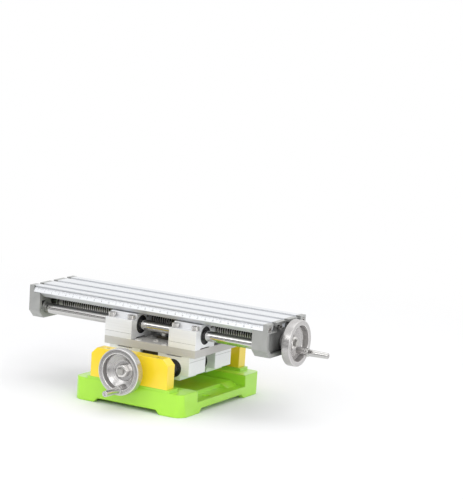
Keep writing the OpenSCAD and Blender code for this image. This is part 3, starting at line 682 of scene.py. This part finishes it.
def bracket_lips():
    """A wedge on each arm, at the front and the rear of both brackets."""
    bm = bmesh.new()
    face, root = TABLE_W / 2 - BRACKET_IN, TABLE_W / 2 - NOSE_RUN
    rise = (face - root) * NOSE_RISE / NOSE_RUN
    section = ((root, 0), (root, -LIP_LAP), (face + LIP_PROUD, -LIP_LAP), (face + LIP_PROUD, rise))
    for end, inner in ((-1, LEFT_IN), (1, RIGHT_IN)):
        for side in (-1, 1):
            rows = []
            for along in (inner - LIP_PROUD, TABLE_HALF + LIP_LAP):
                x = TABLE_X + end * along
                row = [bm.verts.new((x, SADDLE_Y + side * y, TABLE_Z + z)) for y, z in section]
                bm.faces.new(row)
                rows.append(row)
            for i in range(len(section)):
                j = (i + 1) % len(section)
                bm.faces.new((rows[0][i], rows[0][j], rows[1][j], rows[1][i]))
    bmesh.ops.recalc_face_normals(bm, faces=bm.faces)
    bmesh.ops.bevel(bm, geom=bm.edges[:], offset=LIP_EDGE, segments=2, affect="EDGES")
    return bm


add_piece("bracket_lips", bracket_lips(), MATERIALS["cast_aluminium"], "table")


# The ruler on the table's front edge

# Upper and lower edge of the leaning face: Y from the middle of the saddle, and Z
SCALE_TOP, SCALE_LOW = Vector((-42.5, 109.1)), Vector((-45.0, 104.0))
SCALE_LENGTH = 300
TICK_LONG, TICK_MIDDLE, TICK_SHORT, TICK_TOP = 2.3, 1.8, 1.2, 0.25
TICK_BOLD, TICK_FINE = 0.1, 0.07
NUMBER_SIZE, NUMBER_DOWN = 2.3, 4.5


def scale_point(x, down, proud=0.03):
    """A point on the leaning scale face: x along the table, down from its upper edge."""
    run = (SCALE_LOW - SCALE_TOP).normalized()
    out = Vector((run.y, -run.x))
    p = SCALE_TOP + run * down + out * proud
    return Vector((TABLE_X + x, SADDLE_Y + p.x, p.y))


def scale_ticks():
    """A tick at every millimetre, longer at every fifth and tenth."""
    bm = bmesh.new()
    for i in range(SCALE_LENGTH + 1):
        x = i - SCALE_LENGTH / 2
        length = TICK_LONG if i % 10 == 0 else TICK_MIDDLE if i % 5 == 0 else TICK_SHORT
        half = TICK_BOLD if i % 5 == 0 else TICK_FINE
        quad(bm, [scale_point(x - half, TICK_TOP), scale_point(x + half, TICK_TOP),
                  scale_point(x + half, TICK_TOP + length), scale_point(x - half, TICK_TOP + length)])
    return bm


def scale_numbers():
    """Plain centimetres under the long ticks."""
    bm = bmesh.new()
    for cm in range(1, SCALE_LENGTH // 10):
        curve = bpy.data.curves.new("scale_number", "FONT")
        curve.body = str(cm)
        curve.size = NUMBER_SIZE
        curve.align_x = "CENTER"
        text = bpy.data.objects.new("scale_number", curve)
        bpy.context.scene.collection.objects.link(text)
        mesh = text.to_mesh()
        start = len(bm.verts)
        bm.from_mesh(mesh)
        bm.verts.ensure_lookup_table()
        text.to_mesh_clear()
        for v in bm.verts[start:]:
            v.co = scale_point(cm * 10 - SCALE_LENGTH / 2 + v.co.x, NUMBER_DOWN - v.co.y)
        bpy.data.objects.remove(text)
        bpy.data.curves.remove(curve)
    return bm


add_piece("scale_ticks", scale_ticks(), INK, "table")
add_piece("scale_numbers", scale_numbers(), INK, "table")


# Finish of the solids: softened edges and the materials above

EDGE = {
    "base_casting": 1.4,
    "front_end_block": 0.7,
    "rear_end_block": 0.7,
    "left_bracket": 0.6,
    "right_bracket": 0.6,
    "saddle_plate": 0.5,
    "table_top": 0.25,
}
DEFAULT_EDGE = 0.3
SAME_POINT, SAME_PLANE, EDGE_ANGLE, EDGE_STEPS = 1e-6, math.radians(0.5), math.radians(40), 3
NO_EDGE = ("cross_rod", "long_rod", "bush", "screws", "nut_screw")


def soften(obj, width):
    """Rounds the edges of a solid by modifiers; its mesh stays as it is."""
    weld = obj.modifiers.new("weld", "WELD")
    weld.merge_threshold = SAME_POINT
    flat = obj.modifiers.new("flat", "DECIMATE")
    flat.decimate_type = "DISSOLVE"
    flat.angle_limit = SAME_PLANE
    bevel = obj.modifiers.new("bevel", "BEVEL")
    bevel.width = width * MM
    bevel.segments = EDGE_STEPS
    bevel.limit_method = "ANGLE"
    bevel.angle_limit = EDGE_ANGLE
    bevel.use_clamp_overlap = True
    bevel.harden_normals = True
    weighted = obj.modifiers.new("normals", "WEIGHTED_NORMAL")
    weighted.keep_sharp = True


for name, obj in NODES.items():
    if obj.hide_render:
        continue
    obj.data.materials.clear()
    obj.data.materials.append(OTHER_METAL.get(name) or MATERIALS[SLOT_OF[name]])
    if not any(part in name for part in NO_EDGE):
        soften(obj, EDGE.get(name, DEFAULT_EDGE))


# Stage, light and camera

def stage_floor():
    """A pale floor that keeps the shadow near the object and fades to white away from it."""
    size, near, far, pale = 6.0, 0.35, 0.9, (0.86, 0.86, 0.87, 1)
    corners = [(-size, -size, 0), (size, -size, 0), (size, size, 0), (-size, size, 0)]
    mesh = bpy.data.meshes.new("floor")
    mesh.from_pydata(corners, [], [(0, 1, 2, 3)])
    floor = bpy.data.objects.new("floor", mesh)
    bpy.context.scene.collection.objects.link(floor)
    mat = bpy.data.materials.new("floor_white")
    mat.use_nodes = True
    nodes, links = mat.node_tree.nodes, mat.node_tree.links
    bsdf = nodes["Principled BSDF"]
    bsdf.inputs["Base Color"].default_value = pale
    bsdf.inputs["Roughness"].default_value = 0.9
    bsdf.inputs["Specular IOR Level"].default_value = 0.1
    glow = nodes.new("ShaderNodeEmission")
    coords = nodes.new("ShaderNodeTexCoord")
    length = nodes.new("ShaderNodeVectorMath")
    length.operation = "LENGTH"
    reach = nodes.new("ShaderNodeMapRange")
    reach.interpolation_type = "SMOOTHSTEP"
    reach.inputs["From Min"].default_value = near
    reach.inputs["From Max"].default_value = far
    path = nodes.new("ShaderNodeLightPath")
    seen = nodes.new("ShaderNodeMath")
    seen.operation = "MAXIMUM"
    both = nodes.new("ShaderNodeMath")
    both.operation = "MULTIPLY"
    mix = nodes.new("ShaderNodeMixShader")
    links.new(coords.outputs["Object"], length.inputs[0])
    links.new(length.outputs["Value"], reach.inputs["Value"])
    links.new(path.outputs["Is Camera Ray"], seen.inputs[0])
    links.new(path.outputs["Is Glossy Ray"], seen.inputs[1])
    links.new(seen.outputs["Value"], both.inputs[0])
    links.new(reach.outputs["Result"], both.inputs[1])
    links.new(both.outputs["Value"], mix.inputs["Fac"])
    links.new(bsdf.outputs["BSDF"], mix.inputs[1])
    links.new(glow.outputs["Emission"], mix.inputs[2])
    links.new(mix.outputs["Shader"], nodes["Material Output"].inputs["Surface"])
    mesh.materials.append(mat)


def white_world(strength):
    """White where it is seen or mirrored, and a plain level of light on everything else."""
    world = bpy.data.worlds.new("studio")
    world.use_nodes = True
    bpy.context.scene.world = world
    nodes, links = world.node_tree.nodes, world.node_tree.links
    light = nodes["Background"]
    light.inputs["Color"].default_value = (1, 1, 1, 1)
    light.inputs["Strength"].default_value = strength
    white = nodes.new("ShaderNodeBackground")
    white.inputs["Color"].default_value = (1, 1, 1, 1)
    white.inputs["Strength"].default_value = 1.0
    path = nodes.new("ShaderNodeLightPath")
    first = nodes.new("ShaderNodeMath")
    first.operation = "MAXIMUM"
    second = nodes.new("ShaderNodeMath")
    second.operation = "MAXIMUM"
    mix = nodes.new("ShaderNodeMixShader")
    links.new(path.outputs["Is Camera Ray"], first.inputs[0])
    links.new(path.outputs["Is Glossy Ray"], first.inputs[1])
    links.new(first.outputs["Value"], second.inputs[0])
    links.new(path.outputs["Is Transmission Ray"], second.inputs[1])
    links.new(second.outputs["Value"], mix.inputs["Fac"])
    links.new(light.outputs["Background"], mix.inputs[1])
    links.new(white.outputs["Background"], mix.inputs[2])
    links.new(mix.outputs["Shader"], nodes["World Output"].inputs["Surface"])


def area_light(name, place, target, size, power):
    """A square lamp of a size in metres and a power in watts, turned to a target."""
    data = bpy.data.lights.new(name, "AREA")
    data.energy = power
    data.size = size
    obj = bpy.data.objects.new(name, data)
    obj.location = place
    obj.rotation_euler = (Vector(target) - Vector(place)).to_track_quat("-Z", "Y").to_euler()
    bpy.context.scene.collection.objects.link(obj)


def dark_card(name, corners, shade):
    """A dark surface that only mirrored rays see, so that bright metal has something dark to show."""
    mesh = bpy.data.meshes.new(name)
    mesh.from_pydata(corners, [], [(0, 1, 2, 3)])
    mat = bpy.data.materials.new(name)
    mat.use_nodes = True
    mat.node_tree.nodes["Principled BSDF"].inputs["Base Color"].default_value = (shade, shade, shade, 1)
    mesh.materials.append(mat)
    card = bpy.data.objects.new(name, mesh)
    bpy.context.scene.collection.objects.link(card)
    card.visible_camera = False
    card.visible_diffuse = False
    card.visible_transmission = False
    card.visible_shadow = False


def photo_camera():
    """The photo's camera: angles, distance, focal length and aim fitted to points in the photo."""
    az, el, roll = math.radians(29.57), math.radians(9.15), math.radians(3.53)
    distance, focal_px, frame_px, sensor = 2.33962, 2063.87, 500, 36.0
    target = Vector((0.07321, 0.0, 0.18117))
    back = Vector((math.sin(az) * math.cos(el), -math.cos(az) * math.cos(el), math.sin(el)))
    right = Vector((math.cos(az), math.sin(az), 0))
    up = back.cross(right)
    across = right * math.cos(roll) + up * math.sin(roll)
    upward = up * math.cos(roll) - right * math.sin(roll)
    data = bpy.data.cameras.new("camera")
    data.sensor_fit = "VERTICAL"
    data.sensor_height = sensor
    data.lens = focal_px / frame_px * sensor
    data.clip_end = 50
    camera = bpy.data.objects.new("camera", data)
    place = target + back * distance
    camera.matrix_world = Matrix((
        (across.x, upward.x, back.x, place.x), (across.y, upward.y, back.y, place.y),
        (across.z, upward.z, back.z, place.z), (0, 0, 0, 1)))
    bpy.context.scene.collection.objects.link(camera)
    bpy.context.scene.camera = camera


WORLD_LIGHT = 0.93
FLOOR_CARD = [(-2.6, -0.25, 0.003), (1.4, -0.25, 0.003), (1.4, -2.4, 0.003), (-2.6, -2.4, 0.003)]
FRONT_CARD = [(-2.1, -0.65, 0.25), (0.5, -2.13, 0.25), (0.5, -2.13, 0.72), (-2.1, -0.65, 0.72)]
FLOOR_SHADE, FRONT_SHADE = 0.12, 0.03
LOW_AIM, HIGH_AIM = (0, 0, 0.05), (0, 0, 0.06)

stage_floor()
white_world(WORLD_LIGHT)
dark_card("front_floor", FLOOR_CARD, FLOOR_SHADE)
dark_card("front_card", FRONT_CARD, FRONT_SHADE)
area_light("key", (-0.8, -1.8, 1.1), LOW_AIM, size=1.0, power=5.0)
area_light("front", (0.7, -1.9, 1.2), HIGH_AIM, size=0.8, power=5.5)
area_light("fill", (1.4, -1.0, 0.75), HIGH_AIM, size=0.6, power=3.0)
area_light("edge", (0.8, -0.8, 1.4), LOW_AIM, size=0.4, power=2.5)
area_light("top", (0.1, 0.4, 1.8), LOW_AIM, size=1.4, power=5.0)
photo_camera()
bpy.context.scene.view_settings.view_transform = "Standard"
